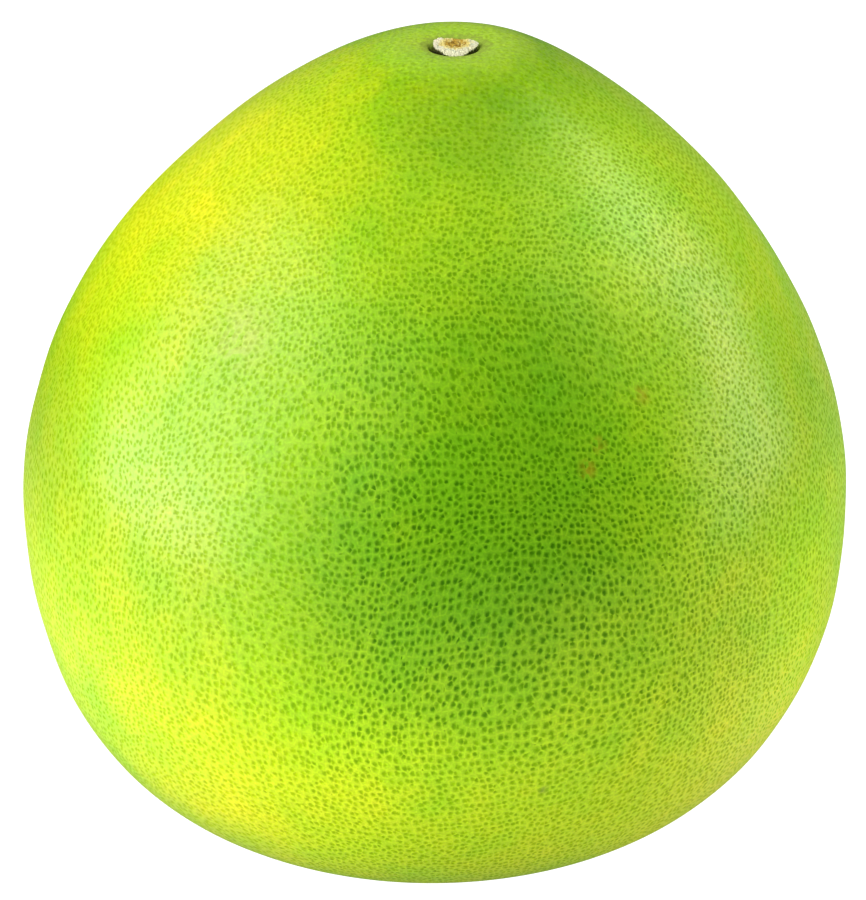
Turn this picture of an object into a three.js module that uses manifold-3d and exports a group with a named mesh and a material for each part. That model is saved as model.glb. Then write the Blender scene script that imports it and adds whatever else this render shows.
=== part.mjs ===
// A green pomelo resting on the small flat under its base. The crown leans a little to +X and carries
// a shallow hollow, where the dried calyx and the snipped stub of the stalk are left.
// Millimetres, +Z up. The origin is the middle of the flat that the fruit rests on.

import * as THREE from "three";
import { mergeVertices } from "three/addons/utils/BufferGeometryUtils.js";
import Module from "manifold-3d";

const wasm = await Module();
wasm.setup();

// Outline of the fruit, from the table up to the rim of the hollow.
const FOOT_RADIUS = 18; // flat that it rests on
const FOOT_SPREAD = 44; // reach of the curve that leaves the foot level
const BELLY_RADIUS = 75; // widest girth
const BELLY_HEIGHT = 60;
const BELLY_DROP = 30; // reach of the curve that comes upright under the belly
const SHOULDER_RISE = 51; // reach of the curve that leaves the belly upright
const CROWN_HEIGHT = 147.5; // rim of the hollow
const RIM_RADIUS = 9;
const RIM_SPREAD = 13; // reach of the curve that comes level at the rim

// Hollow in the crown, with a narrow socket round the calyx.
const HOLLOW_SPREAD = 1; // reach of the curve that comes upright at the lip
const LIP_RADIUS = 5.2;
const LIP_HEIGHT = CROWN_HEIGHT - 0.9;
const SOCKET_RADIUS = 4.9;
const SOCKET_FLOOR = LIP_HEIGHT - 1.6;

// How the grown fruit differs from a turned solid.
const CROWN_LEAN = 3.3; // how far the crown stands to +X of the foot
const BELLY_SWAY = 0.5; // bow of the axis between foot and crown
const STALK_OFFSET = 1.2; // how far the stalk stands to +X of the crown's middle
const STALK_REACH = 30; // radius at which that offset has died away
const LOBE_COUNT = 3;
const LOBE_SWELL = 0.005; // share of the radius

// Calyx: five dried sepals grown together into a flat collar.
const SEPAL_COUNT = 5;
const SEPAL_STEPS = 8;
const CALYX_RADIUS = 4.1;
const SEPAL_LENGTH = 0.6;
const CALYX_THICKNESS = 0.6;

// Stub of the stalk: it flares upwards, with a slanted cut on top and a snipped back.
const STUB_FOOT_RADIUS = 3.3;
const STUB_RADIUS = 4.1;
const STUB_STOCK = 3.2; // height before it is cut
const STUB_HEIGHT = 2.1; // height of the cut face on the stub's axis
const CUT_TILT = THREE.MathUtils.degToRad(10);
const SNIP_DISTANCE = 1.75; // from the stub's axis to its flat back
const SNIP_TURN = THREE.MathUtils.degToRad(-8);
const CUTTER_SIDE = 20;

const FRUIT_SIDES = 60;
const UNDERSIDE_STEPS = 14;
const SHOULDER_STEPS = 18;
const HOLLOW_STEPS = 4;
const STUB_SIDES = 48;

const peel = new THREE.MeshStandardMaterial({ color: "#9cc92c", roughness: 0.42, metalness: 0 });
const driedCalyx = new THREE.MeshStandardMaterial({ color: "#3f3d18", roughness: 0.85, metalness: 0 });
const cutWood = new THREE.MeshStandardMaterial({ color: "#efe7bd", roughness: 0.8, metalness: 0 });

// A profile of (radius, height) points turned round the Z axis.
function turned(points, sides) {
  const geometry = new THREE.LatheGeometry(points, sides);
  geometry.rotateX(Math.PI / 2);
  return geometry;
}

// Sideways place of the fruit's axis at a height, for a ring of the given radius.
function axisShift(height, radius) {
  const rise = height / CROWN_HEIGHT;
  const bent = CROWN_LEAN * rise ** 2 + BELLY_SWAY * Math.sin(2 * Math.PI * rise);
  const aboveBelly = THREE.MathUtils.smoothstep(height, BELLY_HEIGHT, CROWN_HEIGHT);
  const nearStalk = 1 - THREE.MathUtils.smoothstep(radius, LIP_RADIUS, STALK_REACH);
  return bent + STALK_OFFSET * aboveBelly * nearStalk;
}

// Half outline of the fruit: foot, underside, shoulder, hollow and socket.
function fruitProfile() {
  const point = (radius, height) => new THREE.Vector2(radius, height);
  const underside = new THREE.CubicBezierCurve(
    point(FOOT_RADIUS, 0),
    point(FOOT_RADIUS + FOOT_SPREAD, 0),
    point(BELLY_RADIUS, BELLY_HEIGHT - BELLY_DROP),
    point(BELLY_RADIUS, BELLY_HEIGHT),
  );
  const shoulder = new THREE.CubicBezierCurve(
    point(BELLY_RADIUS, BELLY_HEIGHT),
    point(BELLY_RADIUS, BELLY_HEIGHT + SHOULDER_RISE),
    point(RIM_RADIUS + RIM_SPREAD, CROWN_HEIGHT),
    point(RIM_RADIUS, CROWN_HEIGHT),
  );
  const hollow = new THREE.QuadraticBezierCurve(
    point(RIM_RADIUS, CROWN_HEIGHT),
    point(LIP_RADIUS + HOLLOW_SPREAD, CROWN_HEIGHT),
    point(LIP_RADIUS, LIP_HEIGHT),
  );
  return [
    point(0, 0),
    ...underside.getPoints(UNDERSIDE_STEPS),
    ...shoulder.getPoints(SHOULDER_STEPS).slice(1),
    ...hollow.getPoints(HOLLOW_STEPS).slice(1),
    point(SOCKET_RADIUS, SOCKET_FLOOR),
    point(0, SOCKET_FLOOR),
  ];
}

function fruitGeometry() {
  const geometry = turned(fruitProfile(), FRUIT_SIDES);
  const place = geometry.getAttribute("position");
  for (let i = 0; i < place.count; i++) {
    const x = place.getX(i);
    const y = place.getY(i);
    const z = place.getZ(i);
    const lobes = Math.sin(LOBE_COUNT * Math.atan2(y, x));
    const swell = 1 + LOBE_SWELL * Math.sin((Math.PI * z) / CROWN_HEIGHT) * lobes;
    place.setX(i, x * swell + axisShift(z, Math.hypot(x, y)));
    place.setY(i, y * swell);
  }
  return geometry;
}

// A flat collar whose radius rises to a point at each sepal.
function calyxGeometry() {
  const outline = [];
  const steps = SEPAL_COUNT * SEPAL_STEPS;
  for (let i = 0; i < steps; i++) {
    const angle = (2 * Math.PI * i) / steps;
    const pointedness = 1 - Math.abs(Math.sin((SEPAL_COUNT * angle) / 2));
    const radius = CALYX_RADIUS + SEPAL_LENGTH * pointedness;
    outline.push(new THREE.Vector2(radius * Math.cos(angle), radius * Math.sin(angle)));
  }
  const shape = new THREE.Shape(outline);
  return new THREE.ExtrudeGeometry(shape, { depth: CALYX_THICKNESS, bevelEnabled: false });
}

function solidFrom(geometry) {
  const bare = geometry.clone();
  bare.deleteAttribute("normal");
  bare.deleteAttribute("uv");
  const merged = mergeVertices(bare);
  const corners = Array.from(merged.index.array);
  const triangles = [];
  for (let i = 0; i < corners.length; i += 3) {
    const [a, b, c] = corners.slice(i, i + 3);
    if (a !== b && b !== c && c !== a) {
      triangles.push(a, b, c);
    }
  }
  const mesh = new wasm.Mesh({
    numProp: 3,
    vertProperties: merged.getAttribute("position").array,
    triVerts: Uint32Array.from(triangles),
  });
  return new wasm.Manifold(mesh);
}

function geometryFrom(solid) {
  const mesh = solid.getMesh();
  const geometry = new THREE.BufferGeometry();
  geometry.setAttribute("position", new THREE.BufferAttribute(mesh.vertProperties, 3));
  geometry.setIndex(new THREE.BufferAttribute(mesh.triVerts, 1));
  geometry.computeVertexNormals();
  return geometry;
}

// A flared plug of stalk, cut off by a slanted blade and snipped flat behind.
function stubGeometry() {
  const stock = turned(
    [
      new THREE.Vector2(0, 0),
      new THREE.Vector2(STUB_FOOT_RADIUS, 0),
      new THREE.Vector2(STUB_RADIUS, STUB_HEIGHT / 2),
      new THREE.Vector2(STUB_RADIUS, STUB_STOCK),
      new THREE.Vector2(0, STUB_STOCK),
    ],
    STUB_SIDES,
  );
  const blade = new THREE.BoxGeometry(CUTTER_SIDE, CUTTER_SIDE, CUTTER_SIDE);
  blade.translate(0, 0, CUTTER_SIDE / 2);
  blade.rotateX(CUT_TILT);
  blade.translate(0, 0, STUB_HEIGHT);
  const snip = new THREE.BoxGeometry(CUTTER_SIDE, CUTTER_SIDE, CUTTER_SIDE);
  snip.translate(0, SNIP_DISTANCE + CUTTER_SIDE / 2, 0);
  snip.rotateZ(SNIP_TURN);
  return geometryFrom(solidFrom(stock).subtract(solidFrom(blade)).subtract(solidFrom(snip)));
}

function part(name, geometry, material) {
  const mesh = new THREE.Mesh(geometry, material);
  mesh.name = name;
  return mesh;
}

const pomelo = new THREE.Group();
pomelo.add(part("fruit", fruitGeometry(), peel));

const button = new THREE.Group();
button.position.set(axisShift(SOCKET_FLOOR, 0), 0, SOCKET_FLOOR);
button.add(part("calyx", calyxGeometry(), driedCalyx));
const stub = part("stem_stub", stubGeometry(), cutWood);
stub.position.z = CALYX_THICKNESS;
button.add(stub);
pomelo.add(button);

export default pomelo;
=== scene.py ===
import bpy
import numpy as np
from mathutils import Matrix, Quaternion, Vector


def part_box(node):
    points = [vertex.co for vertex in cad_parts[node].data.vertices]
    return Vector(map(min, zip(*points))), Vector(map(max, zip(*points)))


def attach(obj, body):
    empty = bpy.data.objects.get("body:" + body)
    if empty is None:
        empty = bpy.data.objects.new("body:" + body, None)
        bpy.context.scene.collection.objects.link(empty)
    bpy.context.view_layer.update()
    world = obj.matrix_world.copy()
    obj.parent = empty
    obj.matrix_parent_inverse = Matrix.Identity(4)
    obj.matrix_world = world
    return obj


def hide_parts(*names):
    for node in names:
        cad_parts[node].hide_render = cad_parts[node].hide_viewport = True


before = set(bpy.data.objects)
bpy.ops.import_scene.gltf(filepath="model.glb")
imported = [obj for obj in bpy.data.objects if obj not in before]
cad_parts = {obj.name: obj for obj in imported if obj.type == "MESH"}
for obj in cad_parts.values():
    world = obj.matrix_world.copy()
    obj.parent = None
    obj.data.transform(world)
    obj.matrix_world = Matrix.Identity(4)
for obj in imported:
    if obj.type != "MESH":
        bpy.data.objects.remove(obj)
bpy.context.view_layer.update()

mm = 0.001


# ---- Fruit ----------------------------------------------------------------------------------
# A green pomelo grew in one piece: a thick waxy peel full of oil glands, over a broad belly that
# narrows to a leaning crown. It stands on the flat under its base, and the crown has a shallow
# hollow with a narrow socket, where the button of the stalk sits.

fruit_low, fruit_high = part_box("fruit")
crown_height = fruit_high.z
belly_radius = (fruit_high.x - fruit_low.x) / 2
belly_height = 60 * mm
foot_radius = 18 * mm
foot_spread = 44 * mm  # reach of the outline's curve that leaves the foot level
belly_drop = 30 * mm  # reach of the curve that comes upright under the belly
shoulder_rise = 51 * mm  # reach of the curve that leaves the belly upright
rim_radius = 9 * mm
rim_spread = 13 * mm  # reach of the curve that comes level at the rim
lip_radius = 5.2 * mm
lip_height = crown_height - 0.9 * mm
lip_spread = 1.6 * mm  # reach of the curve that leaves the hollow level before the lip
lip_bend = 0.2 * mm  # how far outside the lip that curve turns down
lip_drop = 0.35 * mm  # how far under the crown it does so
socket_radius = 4.9 * mm
socket_floor = lip_height - 1.6 * mm
wall_drop = 0.7 * mm  # reach of the curve that comes upright on the socket's wall
floor_share = 0.7  # edge of the rounded floor, as a share of the socket's radius
crown_lean = 3.3 * mm
belly_sway = 0.5 * mm
stalk_offset = 1.2 * mm
stalk_reach = 30 * mm
lobe_count = 3
lobe_swell = 0.005  # share of the radius
scar_radius = 4.5 * mm  # dent that the flower's style left under the base
scar_depth = 0.5 * mm
socket_squeeze = 0.148  # how much narrower the peel has grown round the stalk, as a share
socket_slip = 0.43 * mm  # how far it has grown to -X of the stalk
dent_depth = 0.16 * mm  # broad unevenness of the peel
fruit_columns = 360
foot_steps, underside_steps, shoulder_steps, hollow_steps, wall_steps = 24, 84, 118, 16, 12


def smooth_step(value, start, end):
    """Rises from 0 at start to 1 at end along 3t^2 - 2t^3."""
    t = np.clip((value - start) / (end - start), 0, 1)
    return t * t * (3 - 2 * t)


def bezier(*corners, count):
    """Points of a Bezier curve, by halving the corner list: each pass mixes neighbours by t."""
    t = np.linspace(0, 1, count)[:, None]
    points = [np.broadcast_to(np.array(corner, float), (count, 2)) for corner in corners]
    while len(points) > 1:
        points = [a * (1 - t) + b * t for a, b in zip(points, points[1:])]
    return points[0]


def axis_shift(height, radius):
    """Sideways place of the fruit's axis: a squared lean, a full sine of sway, and near the
    stalk a smooth extra step to the same side."""
    rise = height / crown_height
    bent = crown_lean * rise**2 + belly_sway * np.sin(2 * np.pi * rise)
    above_belly = smooth_step(height, belly_height, crown_height)
    return bent + stalk_offset * above_belly * (1 - smooth_step(radius, lip_radius, stalk_reach))


stalk_across = float(axis_shift(socket_floor, 0.0))  # place of the stalk, which leans to +X


def closed_mesh(name, rings, bottom, top):
    """Rings of points, counted anticlockwise from above, each joined to the next by quads and
    closed by a fan of triangles to a point at either end."""
    rows, columns = rings.shape[:2]
    points = np.concatenate([[bottom], rings.reshape(-1, 3), [top]])
    here = 1 + np.arange(rows * columns).reshape(rows, columns)
    beside = np.roll(here, -1, axis=1)
    quads = np.stack([here[:-1], beside[:-1], beside[1:], here[1:]], -1).reshape(-1, 4)
    first = np.stack([np.zeros(columns, int), beside[0], here[0]], -1)
    last = np.stack([here[-1], beside[-1], np.full(columns, len(points) - 1)], -1)
    mesh = bpy.data.meshes.new(name)
    mesh.from_pydata(points, [], [*quads.tolist(), *first.tolist(), *last.tolist()])
    mesh.shade_smooth()
    piece = bpy.data.objects.new(name, mesh)
    bpy.context.scene.collection.objects.link(piece)
    return piece


def fruit_outline():
    """Radius and height from the foot to the socket's floor: two Bezier curves that meet upright
    at the belly, then the hollow, a rounded lip and the socket's wall."""
    scar = np.array([[r, 0.0] for r in np.linspace(0.08, 1, foot_steps) * foot_radius])
    underside = bezier(
        (foot_radius, 0),
        (foot_radius + foot_spread, 0),
        (belly_radius, belly_height - belly_drop),
        (belly_radius, belly_height),
        count=underside_steps,
    )
    shoulder = bezier(
        (belly_radius, belly_height),
        (belly_radius, belly_height + shoulder_rise),
        (rim_radius + rim_spread, crown_height),
        (rim_radius, crown_height),
        count=shoulder_steps,
    )
    hollow = bezier(
        (rim_radius, crown_height),
        (lip_radius + lip_spread, crown_height),
        (lip_radius + lip_bend, crown_height - lip_drop),
        (lip_radius, lip_height),
        count=hollow_steps,
    )
    wall = bezier(
        (lip_radius, lip_height),
        (socket_radius, lip_height - wall_drop),
        (socket_radius, socket_floor),
        (socket_radius * floor_share, socket_floor),
        count=wall_steps,
    )
    return np.concatenate([scar, underside[1:], shoulder[1:], hollow[1:], wall[1:]])


def fruit_rings():
    """The outline turned round, swollen by faint lobes, dented by slow waves, leaned at the top,
    narrowed round the stalk, and lifted in the middle of the foot by a rounded scar."""
    outline = fruit_outline()
    around = np.linspace(0, 2 * np.pi, fruit_columns, endpoint=False)
    radius = np.repeat(outline[:, :1], fruit_columns, axis=1)
    height = np.repeat(outline[:, 1:], fruit_columns, axis=1)
    swell = 1 + lobe_swell * np.sin(np.pi * height / crown_height) * np.sin(lobe_count * around)
    free = smooth_step(height, 2 * mm, 30 * mm) * smooth_step(radius, 8 * mm, 30 * mm)
    climb = height / belly_radius
    waves = (
        np.sin(3 * around + 5 * climb + 1.3) * np.cos(7 * climb - 2 * around)
        + 0.6 * np.sin(7 * around - 9 * climb) * np.sin(11 * climb + 3 * around + 0.7)
        + 0.35 * np.sin(13 * around + 17 * climb) * np.sin(19 * climb - 8 * around + 2.1)
    )
    reach = radius * swell + dent_depth * free * waves
    scar = scar_depth * (1 - smooth_step(radius, 0.3 * scar_radius, scar_radius))
    lifted = height + np.where(height < 1 * mm, scar, 0)
    at_stalk = (height > belly_height) * (1 - smooth_step(radius, lip_radius, rim_radius))
    reach = reach * (1 - socket_squeeze * at_stalk)
    across = reach * np.cos(around) + axis_shift(height, radius) - socket_slip * at_stalk
    return np.stack([across, reach * np.sin(around), lifted], -1)


class Wire:
    """One output socket of a finish's node tree. Python's arithmetic on it adds Math nodes."""

    def __init__(self, finish, socket):
        self.finish = finish
        self.socket = socket

    def output(self, name):
        return Wire(self.finish, self.socket.node.outputs[name])

    def __add__(self, other):
        return self.finish.math("ADD", self, other)

    def __radd__(self, other):
        return self.finish.math("ADD", other, self)

    def __sub__(self, other):
        return self.finish.math("SUBTRACT", self, other)

    def __rsub__(self, other):
        return self.finish.math("SUBTRACT", other, self)

    def __mul__(self, other):
        return self.finish.math("MULTIPLY", self, other)

    def __rmul__(self, other):
        return self.finish.math("MULTIPLY", other, self)

    def __truediv__(self, other):
        return self.finish.math("DIVIDE", self, other)

    def __rtruediv__(self, other):
        return self.finish.math("DIVIDE", other, self)


class Finish:
    """The node tree of a material or of the studio's world, and short ways to add its nodes."""

    def __init__(self, owner, shader="Principled BSDF", **constants):
        owner.use_nodes = True
        self.tree = owner.node_tree
        self.shader = self.tree.nodes[shader]
        for socket, value in constants.items():
            self.shader.inputs[socket.replace("_", " ")].default_value = value

    def node(self, kind, settings=None, sockets=None, output=0):
        node = self.tree.nodes.new(kind)
        for name, value in (settings or {}).items():
            setattr(node, name, value)
        for name, value in (sockets or {}).items():
            self.plug(node.inputs[name], value)
        return Wire(self, node.outputs[output])

    def plug(self, socket, value):
        if isinstance(value, Wire):
            self.tree.links.new(value.socket, socket)
        else:
            socket.default_value = value

    def feed(self, name, value):
        self.plug(self.shader.inputs[name], value)

    def math(self, operation, *terms):
        return self.node("ShaderNodeMath", {"operation": operation}, dict(enumerate(terms)))

    def vector(self, operation, *terms, output=0):
        return self.node(
            "ShaderNodeVectorMath", {"operation": operation}, dict(enumerate(terms)), output
        )

    def scaled(self, vector, factor):
        return self.node(
            "ShaderNodeVectorMath", {"operation": "SCALE"}, {"Vector": vector, "Scale": factor}
        )

    def distance(self, place, point):
        return self.vector("DISTANCE", place, point, output="Value")

    def split(self, vector):
        parts = self.node("ShaderNodeSeparateXYZ", sockets={"Vector": vector})
        return [parts.output(axis) for axis in "XYZ"]

    def join(self, x, y, z):
        return self.node("ShaderNodeCombineXYZ", sockets={"X": x, "Y": y, "Z": z})

    def mix(self, factor, first, second, blend="MIX"):
        settings = {"data_type": "RGBA", "blend_type": blend}
        return self.node("ShaderNodeMix", settings, {0: factor, 6: first, 7: second}, 2)

    def step(self, value, start, end, low=0.0, high=1.0):
        settings = {"interpolation_type": "SMOOTHSTEP"}
        return self.node(
            "ShaderNodeMapRange", settings, {0: value, 1: start, 2: end, 3: low, 4: high}
        )

    def ramp(self, value, start, end):
        return self.node("ShaderNodeMapRange", sockets={0: value, 1: start, 2: end})

    def noise(self, vector, scale, detail=2.0, roughness=0.5, output="Fac"):
        return self.node(
            "ShaderNodeTexNoise",
            sockets={"Vector": vector, "Scale": scale, "Detail": detail, "Roughness": roughness},
        ).output(output)

    def area(self, place, *limits):
        """Product of a smooth step for each limit. A limit holds an axis, or a point in
        millimetres, then the coordinate or distance in millimetres at which the area starts and
        the one at which it is full, and sometimes the step's low and high values."""
        share = 1
        for origin, start, full, *values in limits:
            if isinstance(origin, str):
                reach = self.split(place)["xyz".index(origin)]
            else:
                reach = self.distance(place, tuple(c * mm for c in origin))
            share = share * self.step(reach, start * mm, full * mm, *values)
        return share

    def total(self, place, areas):
        """Sum of the areas, each weighted by the amount that its row starts with."""
        return sum(amount * self.area(place, *limits) for amount, *limits in areas)

    def bump(self, height, distance):
        sockets = {"Height": height, "Distance": distance, "Strength": 1.0}
        return self.node("ShaderNodeBump", sockets=sockets)


gland_rows = 91  # glands along a quarter of the girth; odd, so that the skin cuts them in half
gland_scatter = 0.70  # how far a gland strays in its cell, as a share of the cell
gland_stretch = 1.18  # upright length of a cell over its width
gland_swirl = 0.11  # how strongly slow noise bends the rows of glands
gland_heart = (0.004, 0.001, 0.060)  # point inside the fruit that the glands are laid out from

leaf_green = (0.138, 0.385, 0.0006, 1)
lime = (0.30, 0.555, 0.0015, 1)
ripe_yellow = (0.60, 0.68, 0.004, 1)
gland_tint = (0.30, 0.44, 0.1, 1)  # the colours that follow multiply the ground's own colour
ground_tint = (1.17, 1.12, 1.0, 1)
net_tint = (1.75, 1.45, 8.0, 1)
pale_crown = (0.42, 0.69, 0.040, 1)
# cork colour, also standing in for a painted highlight on the front of the socket's lip
cork_and_lip_highlight_olive = (0.33, 0.39, 0.09, 1)
# brown of the socket's wall, darkened with painted shade
socket_shade_brown = (0.085, 0.080, 0.014, 1)
scar_brown = (0.17, 0.11, 0.035, 1)
rust = (0.46, 0.22, 0.008, 1)
rubbed = (0.62, 0.50, 0.22, 1)
bruise = (0.13, 0.17, 0.06, 1)
riper_and_shaded_areas = [  # how much riper the skin is in an area, and the area's limits; the rows that make the outermost skin of the shoulders greener are painted shade
    (0.31, ("x", -5, -58)), (0.24, ("x", 20, 56)),  # both flanks
    (0.28, ("z", 62, 22)),  # under the belly
    (-0.154, ("x", -52, -74), ("z", 56, 82)),  # painted shade on the outermost skin of the left shoulder
    (-0.055, ("x", 48, 72), ("z", 56, 82)),  # and painted shade on the outermost skin of the right one
    (-0.17, ("x", -36, -58), ("z", 52, 36)),  # low on the left
    (0.40, ((-33, -14, 130), 54, 4)),  # yellow blush on the left shoulder
    (-0.18, ((-46, -40, 108), 38, 8)),  # lime skin under that blush
    (0.18, ((-26, -64, 36), 36, 10)),  # yellow patch low in front
    (-0.14, ((-46, -43, 22), 34, 10)),  # greener beside it
    (-0.35, ((10, -68, 88), 48, 8)),  # the greenest skin, in the middle of the front
    (-0.13, ((4, -22, 143), 20, 4)),  # greener in front of the hollow
]
painted_light_and_shade_areas = [  # painted light and shade: how much lighter the skin is painted, as a share, and the area's limits
    (0.08, ("z", 80, 108)), (-0.13, ("z", 122, 144)),  # above the belly, and at the crown
    (0.26, ("z", 80, 36)),  # under the belly
    (0.12, ("x", 10, 36)), (-0.17, ("x", -12, -44)),  # right and left
    (0.20, ("x", 50, 68), ("z", 92, 66)),  # right flank
    # painted shade on the outermost skin of both shoulders
    (-0.154, ("x", -52, -74), ("z", 56, 82)), (-0.055, ("x", 48, 72), ("z", 56, 82)),
    (-0.10, ((-60, 2, 102), 40, 14)),  # left shoulder
    (-0.10, ((-28, -38, 122), 34, 6)),
    (0.22, ((21, -27, 136), 34, 6)),  # right of the hollow
    (-0.10, ((4, -22, 143), 20, 4)),  # in front of it
    (-0.08, ((56, -30, 98), 34, 10)),  # right shoulder
    (-0.09, ((46, -56, 44), 36, 12)),  # low on the right
    (0.10, ((10, -72, 50), 36, 10)),  # low in the middle
]
crown_fading = [(0.27, ("z", 86, 110)), (0.32, ("z", 120, 142))]  # glands fade in two steps
fainter_areas = [  # how much fainter the glands are, and the limits; the strongest area counts
    (1, ("x", -6, -26), ("z", 70, 96, 0.52, 0.63)),  # left, more so above
    (1, ("x", 22, 66), ("z", 84, 106, 0.36, 0.66)),  # right, more so above
    (0.40, ("z", 64, 34)),
    (0.55, ((-22, -30, 128), 40, 20)),
    (0.38, ((42, -38, 112), 38, 12)),
]
dull_front = [("x", -45, -12), ("x", 60, 35), ("z", 122, 96)]  # limits of the skin with less wax
dull_shoulder = [((-60, 2, 102), 40, 14)]
blemishes = [  # middle and radius in millimetres, strength and colour
    ((26.2, -61.7, 95.3), 2.4, 0.45, rust), ((28.2, -58.9, 98.5), 2.2, 0.42, rust),
    ((35.4, -51.2, 104.0), 2.6, 0.38, rust), ((-32.3, -45.1, 111.7), 9.0, 0.22, rubbed),
    ((19.5, -70.1, 38.3), 1.5, 0.60, bruise), ((-54.0, 35.0, 95.0), 3.5, 0.60, rust),
    ((30.0, 62.0, 90.0), 7.0, 0.50, rubbed), ((61.0, 30.0, 45.0), 2.0, 0.80, bruise),
    ((-15.0, 71.0, 40.0), 2.6, 0.65, rust),
]


def gland_field(finish, place):
    """Distance in millimetres from the nearest gland, distance in cells from the edge between
    two glands, and three random numbers of the nearest gland. Directions from the fruit's heart
    are laid on a cube whose sides have equal angles, so that even cells cover the peel, after
    slow noise has bent them. Each cell holds one gland, and the first distance is measured after
    that gland's cell is turned back to a direction."""
    half = gland_rows / 2
    start = (gland_scatter - 1) / 2
    flatten = (1 / belly_radius, 1 / belly_radius, 1 / belly_radius / gland_stretch)
    offset = tuple(-c * f for c, f in zip(gland_heart, flatten))
    spread = finish.vector("MULTIPLY_ADD", place, flatten, offset)
    drift = finish.noise(place, 28.0, detail=0.0, output="Color")
    swirl = finish.vector("MULTIPLY_ADD", drift, (gland_swirl,) * 3, (-gland_swirl / 2,) * 3)
    course = finish.vector("NORMALIZE", finish.vector("ADD", spread, swirl))
    sizes = finish.split(finish.vector("ABSOLUTE", course))
    longest = finish.math("MAXIMUM", finish.math("MAXIMUM", sizes[0], sizes[1]), sizes[2])
    on_cube = finish.split(finish.scaled(course, 1 / longest))
    angles = finish.join(*[finish.math("ARCTANGENT", part) for part in on_cube])
    to_cells = 4 / np.pi * half
    cells = finish.vector("MULTIPLY_ADD", angles, (to_cells,) * 3, (start,) * 3)
    first, second = [
        finish.node(
            "ShaderNodeTexVoronoi",
            {"voronoi_dimensions": "3D", "feature": feature},
            {"Vector": cells, "Scale": 1.0, "Randomness": gland_scatter},
        )
        for feature in ("F1", "F2")
    ]
    back = finish.vector(
        "MULTIPLY_ADD", first.output("Position"), (1 / to_cells,) * 3, (-start / to_cells,) * 3
    )
    turned = finish.join(*[finish.math("TANGENT", part) for part in finish.split(back)])
    towards = finish.vector("NORMALIZE", turned)
    gap = finish.distance(course, towards) * (belly_radius / mm)
    return gap, second - first, finish.split(first.output("Color"))


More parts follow.
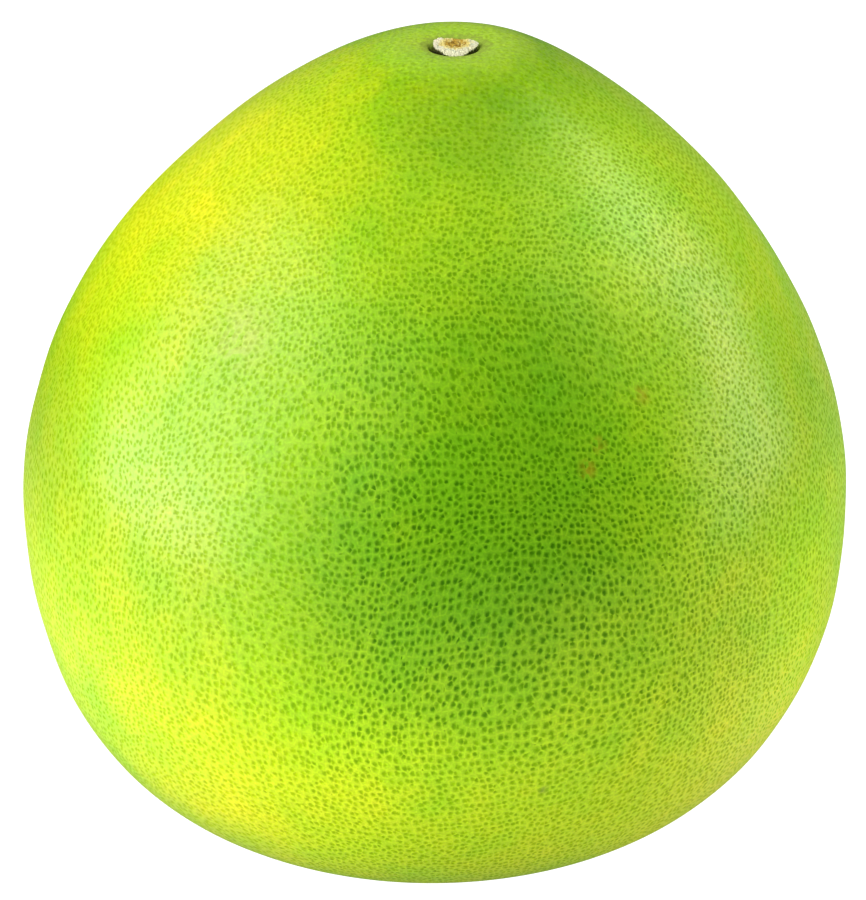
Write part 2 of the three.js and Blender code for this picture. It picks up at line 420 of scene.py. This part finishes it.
def peel_finish():
    """Waxy peel: slow drifts between green, lime and yellow, a dark soft-edged oil gland in every
    cell and a lighter net between the glands, with painted light and shade laid over it by area.
    The wax is a coat over a skin without a shine of its own; it is thinner on the glands, over
    cork and where the skin was rubbed."""
    material = bpy.data.materials.new("peel")
    finish = Finish(material, Specular_IOR_Level=0.0, Coat_IOR=1.43, Coat_Roughness=0.31)
    place = finish.node("ShaderNodeTexCoord").output("Object")
    along, up = finish.split(place)[1:]
    gap, edge, (chance_size, chance_tone, chance_net) = gland_field(finish, place)
    from_stalk = finish.distance(place, (stalk_across, 0.0, lip_height))
    crown = finish.step(from_stalk, 34 * mm, 12 * mm)

    # Ripeness runs from 0 on the greenest skin to about 1 on the ripest.
    slow = finish.noise(place, 16.0) - 0.5
    patchy = finish.noise(place, 90.0, detail=3.0, roughness=0.65) - 0.5
    ripeness = 0.31 + finish.total(place, riper_and_shaded_areas)
    ripeness = ripeness + 0.50 * slow + (0.30 + 0.40 * crown) * patchy
    skin = finish.mix(finish.ramp(ripeness, 0.0, 0.45), leaf_green, lime)
    skin = finish.mix(finish.ramp(ripeness, 0.45, 1.05), skin, ripe_yellow)
    # Painted light and shade: the skin is lightened and darkened area by area.
    skin = finish.scaled(skin, 1 + finish.total(place, painted_light_and_shade_areas))
    skin = finish.mix(0.8 * finish.step(from_stalk, 17 * mm, 8 * mm), skin, pale_crown)
    skin = finish.vector("MULTIPLY", skin, finish.join(1 + 0.40 * patchy, 1.0, 1.0))

    # Glands and the net between them. Grit roughens the edge of each gland.
    grit = finish.noise(place, 2000.0, detail=1.0) - 0.5
    reach = (gap + 0.40 * grit) / (0.88 + 0.48 * chance_size)
    gland = finish.step(reach, 0.54, 0.10)
    line = finish.step(edge, 0.34, 0.02) * (0.50 + 1.0 * chance_net)
    faded = finish.total(place, crown_fading)
    for amount, *limits in fainter_areas:
        faded = finish.math("MAXIMUM", faded, amount * finish.area(place, *limits))
    contrast = (1 - faded) * (0.12 + 0.88 * finish.step(from_stalk, 8 * mm, 30 * mm))
    depth = contrast * (1 - 0.45 * chance_tone)
    tint = finish.mix(gland * depth, ground_tint, gland_tint)
    tint = finish.mix(line * (1 - gland) * contrast * 0.57, tint, net_tint)
    skin = finish.mix(1.0, skin, tint, "MULTIPLY")
    skin = finish.scaled(skin, 1 + 0.5 * grit)

    # Rust, rubbed patches and bruises.
    for middle, size, strength, colour in blemishes:
        blotch = finish.area(place, (middle, size, 0.2 * size))
        blotch = blotch * finish.step(patchy + 0.35 * chance_tone, 0.0, 0.30)
        skin = finish.mix(strength * blotch, skin, colour)

    # Corky skin round the socket, with a painted highlight on the front of its lip; brown skin
    # down its wall, darkened with painted shade; and the scar under the base.
    fibres = finish.noise(place, 1100.0, detail=1.0, roughness=0.7) - 0.5
    fray = 4 * mm * fibres
    skin = finish.scaled(skin, 1 + 0.60 * crown * fibres)
    # The cork reaches further out on the front, where its pale ring is partly a painted highlight
    # on the lip.
    cork_and_lip_highlight = finish.step(from_stalk + fray + 0.09 * along, 7.0 * mm, 5.4 * mm)
    skin = finish.mix(0.55 * cork_and_lip_highlight, skin, cork_and_lip_highlight_olive)
    # Painted shade: the skin down the socket's wall turns a dark brown.
    wall_start = lip_height - 0.3 * mm
    sunk_shaded = finish.step(up + 0.3 * fray, wall_start, wall_start - 0.6 * mm)
    sunk_shaded = sunk_shaded * finish.step(from_stalk, 6.0 * mm, 5.6 * mm)
    skin = finish.mix(0.9 * sunk_shaded, skin, socket_shade_brown)
    scar = finish.area(place, ((0, 0, 0), 6.5, 2))
    skin = finish.mix(0.8 * scar, skin, scar_brown)
    finish.feed("Base Color", skin)

    finish.feed("Roughness", 0.45 + 0.10 * patchy + 0.3 * cork_and_lip_highlight)
    wax = (1 - 0.75 * gland) * (1 - 0.9 * cork_and_lip_highlight)
    wax = wax * (1 - 0.35 * finish.area(place, *dull_front))
    finish.feed("Coat Weight", wax * (1 - 0.70 * finish.area(place, *dull_shoulder)))
    finish.feed("Normal", finish.bump(finish.step(gap, 0.10, 0.62), 0.07 * mm))
    return material


rings = fruit_rings()
scar_middle = (0.0, 0.0, scar_depth)
socket_middle = (stalk_across, 0.0, socket_floor)
fruit = closed_mesh("fruit_peel", rings, scar_middle, socket_middle)
fruit.data.materials.append(peel_finish())
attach(fruit, "root")
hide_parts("fruit")


# ---- Calyx ----------------------------------------------------------------------------------
# The dried remains of the flower's five sepals, grown together into a thin leathery collar. It
# lines the bottom of the socket under the stalk, and its tips curl up the socket's wall.

calyx_low, calyx_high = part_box("calyx")
calyx_thickness = calyx_high.z - calyx_low.z
sepal_count = 5
sepal_turn = np.radians(184)  # direction of the longest tip
notch_radius = 3.3 * mm  # radius between two sepals
sepal_length = 1.1 * mm
tip_thickness = 0.16 * mm
tip_rise = 1.15 * mm
wrinkle_depth = 0.05 * mm
wrinkle_pitch = 0.9 * mm
calyx_slip = 0.3 * mm  # how far it lies to -X of the stalk
calyx_columns = 240

dry_olive = (0.105, 0.095, 0.016, 1)
dry_brown = (0.030, 0.022, 0.006, 1)
weathered = (0.36, 0.33, 0.17, 1)


def ripples(points, pitch, seed, count=24):
    """Uneven surface: a sum of cosine waves with random directions and phases, and wavelengths
    spread round the pitch, scaled so that it mostly stays between -1 and 1."""
    draw = np.random.default_rng(seed)
    headings = draw.normal(size=(count, 3))
    headings /= np.linalg.norm(headings, axis=1, keepdims=True)
    waves = 2 * np.pi / (pitch * draw.uniform(0.65, 1.6, (count, 1)))
    phases = draw.uniform(0, 2 * np.pi, count)
    return np.cos(points @ (headings * waves).T + phases).sum(-1) / np.sqrt(2 * count)


def calyx_rings():
    """Rings out along the underside and back over the top. The radius peaks at each sepal as a
    cubed cosine, the collar thins and rises towards the tips with the fourth power of the share
    of that radius, and fine waves wrinkle it."""
    around = np.linspace(0, 2 * np.pi, calyx_columns, endpoint=False)
    tip = np.abs(np.cos(sepal_count * (around - sepal_turn) / 2)) ** 3
    tip = tip * (0.80 + 0.20 * np.cos(around - sepal_turn))
    outward = np.linspace(0.06, 1, 22)
    share = np.concatenate([outward, outward[::-1]])[:, None]
    on_top = np.repeat([0, 1], len(outward))[:, None]
    radius = share * (notch_radius + sepal_length * tip)
    thickness = calyx_thickness + (tip_thickness - calyx_thickness) * share**4
    height = calyx_low.z + tip_rise * share**4 * (0.25 + 0.75 * tip) + thickness * on_top
    flat = np.stack([radius * np.cos(around), radius * np.sin(around), 0 * radius], -1)
    wrinkles = wrinkle_depth * share**2 * ripples(flat, wrinkle_pitch, seed=5)
    middle = stalk_across - calyx_slip
    return flat + np.stack([0 * radius + middle, 0 * radius, height + wrinkles], -1)


def calyx_finish():
    """Dead leathery tissue: olive brown with darker wrinkles and pale weathered patches."""
    material = bpy.data.materials.new("dried_calyx")
    finish = Finish(material, Specular_IOR_Level=0.3)
    place = finish.node("ShaderNodeTexCoord").output("Object")
    blotches = finish.noise(place, 900.0, detail=4.0, roughness=0.6)
    wrinkles = finish.noise(place, 3500.0, detail=2.0)
    skin = finish.mix(finish.ramp(blotches, 0.36, 0.60), dry_brown, dry_olive)
    skin = finish.mix(0.7 * finish.step(blotches, 0.58, 0.70), skin, weathered)
    finish.feed("Base Color", finish.scaled(skin, 0.55 + 0.9 * wrinkles))
    finish.feed("Roughness", 0.75 + 0.3 * (wrinkles - 0.5))
    finish.feed("Normal", finish.bump(wrinkles, 0.12 * mm))
    return material


rings = calyx_rings()
calyx_bottom = (stalk_across - calyx_slip, 0.0, calyx_low.z)
calyx_top = (stalk_across - calyx_slip, 0.0, calyx_high.z)
calyx = closed_mesh("dried_sepals", rings, calyx_bottom, calyx_top)
calyx.data.materials.append(calyx_finish())
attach(calyx, "root")
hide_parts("calyx")


# ---- Stem stub ------------------------------------------------------------------------------
# The last two millimetres of the stalk, fixed to the calyx: a ring of pale wood fibres round a
# soft brown pith. A slanted snip left the top face rough, and another took its back off flat.

stub_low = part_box("stem_stub")[0]
stub_radius = 3.87 * mm
stub_foot_share = 0.70  # radius at the foot as a share of the radius at the face
stub_height = 2.1 * mm  # height of the cut face on the stalk's axis
cut_tilt = np.radians(10)
snip_distance = 1.55 * mm
snip_turn = np.radians(82)
snip_sharpness = 13  # the higher, the sharper the corners that the snip leaves
burr = 0.16 * mm  # height of the rounded edge of the face
pith_length = 2.1 * mm
pith_width = 1.6 * mm
pith_sink = 0.26 * mm
stub_columns = 420
fibre_depth = 0.10 * mm
grain_depth = 0.065 * mm
grain_pitch = 0.42 * mm
pit_depth = 0.30 * mm
frayed_at = np.radians(322)  # where fibres were torn out of the edge
frayed_spread = np.radians(15)
pits = [(-0.2, -1.85, 0.16), (2.30, -2.05, 0.26), (2.95, -1.55, 0.24)]  # x, y and radius in mm

cream = (0.98, 0.95, 0.63, 1)
butter = (0.94, 0.76, 0.18, 1)
milky_green = (0.80, 0.92, 0.66, 1)
pinkish = (0.80, 0.66, 0.54, 1)
tan_pith = (0.76, 0.49, 0.055, 1)
brown_pith = (0.32, 0.16, 0.006, 1)
bark_olive = (0.10, 0.10, 0.02, 1)
bark_grey = (0.30, 0.29, 0.16, 1)


def stub_reach(around):
    """Radius of the cut face: the stalk's four-cornered round, made of a double and a fourfold
    cosine, cut off by the snip's straight line, with the corner between them rounded by adding
    the two radii as inverse powers. A torn stretch of the edge is set back in small bites."""
    stalk = stub_radius * (1 - 0.040 * np.cos(2 * around) + 0.053 * np.cos(4 * around))
    facing = np.maximum(np.cos(around - snip_turn), 0.01)
    snip = snip_distance / facing
    reach = (stalk**-snip_sharpness + snip**-snip_sharpness) ** (-1 / snip_sharpness)
    torn = np.exp(-(((around - frayed_at) / frayed_spread) ** 2))
    bites = 0.5 + 0.5 * np.sin(26 * around) * np.sin(11 * around + 1)
    uneven = 0.014 * np.sin(9 * around + 1) + 0.012 * np.sin(23 * around)
    ragged = 0.012 * np.sin(41 * around + 2) + 0.010 * np.sin(67 * around + np.sin(5 * around))
    return reach * (1 + uneven + ragged - 0.12 * torn * bites)


def face_relief(x, y, share):
    """Height of the cut face over its plane: rounded down at the edge, sunk at the pith, with
    radial fibres, a fine grain and small round pits with raised rims."""
    edge = -burr * smooth_step(share, 0.86, 1.0) ** 2
    pith = -pith_sink * (1 - smooth_step(np.hypot(x / pith_length, y / pith_width), 0.45, 1.10))
    pith = pith * (1 - smooth_step(share, 0.50, 0.85))
    turn = np.arctan2(y, x)
    spokes = np.stack([np.cos(turn), np.sin(turn), 0.25 * share], -1)
    off_centre = smooth_step(share, 0.15, 0.45)
    fibres = fibre_depth * off_centre * ripples(spokes, 0.28, seed=11, count=40)
    flat = np.stack([x, y, 0 * x], -1)
    grain = grain_depth * ripples(flat, grain_pitch, seed=12, count=40)
    height = edge + pith + fibres + grain
    for pit_x, pit_y, pit_radius in pits:
        gap = np.hypot(x / mm - pit_x, y / mm - pit_y) / pit_radius
        rim = 0.35 * np.exp(-((gap - 1.5) ** 2) / 0.2)
        height = height - pit_depth * (np.exp(-(gap**2)) - rim)
    return height


def stub_rings():
    """Rings out along the foot, up the wall and in over the cut face. The wall leans outwards with
    the square root of its height and is fluted along the grain."""
    around = np.linspace(0, 2 * np.pi, stub_columns, endpoint=False)
    reach = stub_reach(around)
    foot = np.linspace(0.05, 0.95, 6)[:, None] * stub_foot_share
    climb = np.linspace(0, 1, 24)[:, None]
    face = np.linspace(0.985, 0.03, 60)[:, None]
    wall = stub_foot_share + (1 - stub_foot_share) * np.sqrt(climb)
    share = np.concatenate([foot, wall, face])
    fluting = 0.018 * np.sin(31 * around + 2 * np.sin(3 * around)) * np.sin(np.pi * climb)
    share = share + np.concatenate([0 * foot + 0 * around, fluting, 0 * face + 0 * around])
    x = share * reach * np.cos(around)
    y = share * reach * np.sin(around)
    plane = stub_height + y * np.tan(cut_tilt)
    top = plane + face_relief(x, y, np.minimum(share, 1.0))
    lift = np.concatenate([0 * foot, climb, 0 * face + 1])
    return np.stack([x + stalk_across, y, stub_low.z + lift * top], -1)


def stub_finish():
    """Fresh cut wood: a cream ring, milky green in patches and pinkish at the left, buttery round
    a golden pith with brown flecks. The wall is weathered bark."""
    material = bpy.data.materials.new("cut_stalk")
    finish = Finish(material, Specular_IOR_Level=0.3)
    place = finish.node("ShaderNodeTexCoord").output("Object")
    local = finish.vector("SUBTRACT", place, (stalk_across, 0.0, stub_low.z))
    x, y, z = finish.split(local)
    flat = finish.join(x, y, 0.0)
    along_snip = finish.vector("MULTIPLY", flat, (1.0, 0.5, 0.0))
    streaks = finish.noise(along_snip, 2100.0, detail=3.0, roughness=0.65)
    mottle = finish.noise(place, 1100.0, detail=3.0)
    speck = finish.noise(place, 2600.0, detail=2.0)
    oval = finish.vector("MULTIPLY", flat, (1 / pith_length, 1 / pith_width, 0.0))
    ring = finish.vector("LENGTH", oval, output="Value")
    ring = ring + 0.9 * (streaks - 0.5) + 0.6 * (mottle - 0.5)

    wood = finish.mix(0.6 * finish.step(mottle, 0.50, 0.66), cream, milky_green)
    left = finish.step(x, -2.0 * mm, -3.4 * mm) * finish.step(speck, 0.46, 0.58)
    wood = finish.mix(0.75 * left, wood, pinkish)
    wood = finish.mix(0.85 * finish.step(ring, 1.55, 1.10), wood, butter)
    soft = finish.step(ring, 1.02, 0.78) * finish.step(mottle, 0.60, 0.46)
    wood = finish.mix(soft, wood, tan_pith)
    fleck = finish.step(streaks + 0.7 * (speck - 0.5), 0.50, 0.58)
    wood = finish.mix(finish.step(ring, 1.05, 0.80) * fleck, wood, brown_pith)
    wood = finish.scaled(wood, finish.step(speck, 0.34, 0.58, 0.66, 1.04))
    bark = finish.mix(finish.step(mottle, 0.50, 0.68), bark_olive, bark_grey)
    below = stub_height + float(np.tan(cut_tilt)) * y - z + 0.3 * mm * (speck - 0.5)
    wood = finish.mix(finish.step(below, 0.22 * mm, 0.50 * mm), wood, bark)
    finish.feed("Base Color", wood)
    finish.feed("Roughness", 0.72 + 0.3 * (mottle - 0.5))
    finish.feed("Normal", finish.bump(streaks + speck, 0.05 * mm))
    return material


rings = stub_rings()
stub_bottom = (stalk_across, 0.0, stub_low.z)
stub_top = (stalk_across, 0.0, float(rings[-1, :, 2].mean()))
stub = closed_mesh("cut_stalk_stub", rings, stub_bottom, stub_top)
stub.data.materials.append(stub_finish())
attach(stub, "root")
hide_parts("stem_stub")


# ---- Table, lights and camera ----------------------------------------------------------------
# A pale seamless table in an evenly grey room, both of them pure white to the camera. Broad soft
# boxes stand at the left and the right, and fainter ones in front at the left and overhead.

table_side = 30.0
table = bpy.data.meshes.new("table")
table.from_pydata(
    [(-table_side, -table_side, 0), (table_side, -table_side, 0),
     (table_side, table_side, 0), (-table_side, table_side, 0)],
    [], [(0, 1, 2, 3)],
)
floor = bpy.data.objects.new("table", table)
bpy.context.scene.collection.objects.link(floor)
white_paper = bpy.data.materials.new("white_paper")
paper = Finish(white_paper, Roughness=0.9, Specular_IOR_Level=0.1, Emission_Strength=1.2)
place = paper.node("ShaderNodeTexCoord").output("Object")
grain = paper.noise(place, 40.0, detail=0.0)
paper.feed("Base Color", paper.mix(grain, (0.19, 0.19, 0.19, 1), (0.21, 0.21, 0.21, 1)))
seen = paper.node("ShaderNodeLightPath").output("Is Camera Ray")
# The table glows as painted light, more in front and at the left, and less in a painted shadow
# round the fruit.
in_front = paper.area(place, ("y", 40, -60))
on_left = paper.area(place, ("x", -60, -140), ("y", 100, 0))
clear_of_painted_shadow = paper.area(place, ((0, 0, 0), 50, 110))
shine = (0.10 + 0.42 * in_front + 0.30 * on_left) * (0.35 + 0.65 * clear_of_painted_shadow)
glow = paper.join(shine, shine, shine)
paper.feed("Emission Color", paper.mix(seen, glow, (1, 1, 1, 1)))
white_paper.cycles.emission_sampling = "NONE"
table.materials.append(white_paper)

lights_aim = Vector((0.0, 0.0, 0.07))
lamp_distance = 0.70
soft_boxes = [  # azimuth, elevation and roll in degrees, width and height in metres, radiance
    ("left_box", -78, 20, 10, 0.68, 0.80, 2.6),
    ("left_low", -84, 3, 0, 0.60, 0.20, 3.0),
    ("front_fill", -50, 28, 0, 0.80, 0.74, 1.35),
    ("right_box", 107, 31, 0, 0.32, 0.46, 2.65),
    ("right_fill", 92, 48, 0, 0.60, 0.44, 0.9),
    ("right_low", 94, 7, 0, 0.44, 0.28, 2.7),
    ("top_box", 0, 85, 0, 0.60, 0.60, 0.25),
]


def soft_box(name, azimuth, elevation, roll, width, height, radiance):
    """A rectangular lamp seen from the fruit at an azimuth counted from the front towards the
    right. It faces the fruit and is rolled about the line to it."""
    turn, lift = np.radians([azimuth, elevation])
    towards = Vector((np.cos(lift) * np.sin(turn), -np.cos(lift) * np.cos(turn), np.sin(lift)))
    data = bpy.data.lights.new(name, "AREA")
    data.shape = "RECTANGLE"
    data.size = width
    data.size_y = height
    data.energy = radiance * np.pi * width * height
    lamp = bpy.data.objects.new(name, data)
    lamp.location = lights_aim + lamp_distance * towards
    lamp.rotation_euler = (
        towards.to_track_quat("Z", "Y") @ Quaternion((0, 0, 1), np.radians(roll))
    ).to_euler()
    lamp.visible_camera = False
    bpy.context.scene.collection.objects.link(lamp)


for box in soft_boxes:
    soft_box(*box)

studio = bpy.data.worlds.new("studio")
bpy.context.scene.world = studio
room = Finish(studio, "Background", Color=(1, 1, 1, 1))
room_light = 0.21  # strength of the room's own light, against 1 for what the camera sees
seen = room.node("ShaderNodeLightPath").output("Is Camera Ray")
room.feed("Strength", room_light + (1 - room_light) * seen)

camera_elevation = np.radians(26)
camera_distance = 0.80
camera_target = Vector((0.0004, 0.0, 0.0688))
back = Vector((0, -np.cos(camera_elevation), np.sin(camera_elevation)))
camera_data = bpy.data.cameras.new("camera")
camera_data.lens = 175.8
camera_data.clip_end = 100
camera = bpy.data.objects.new("camera", camera_data)
camera.location = camera_target + camera_distance * back
camera.rotation_euler = back.to_track_quat("Z", "Y").to_euler()
bpy.context.scene.collection.objects.link(camera)
bpy.context.scene.camera = camera
bpy.context.scene.view_settings.view_transform = "Standard"
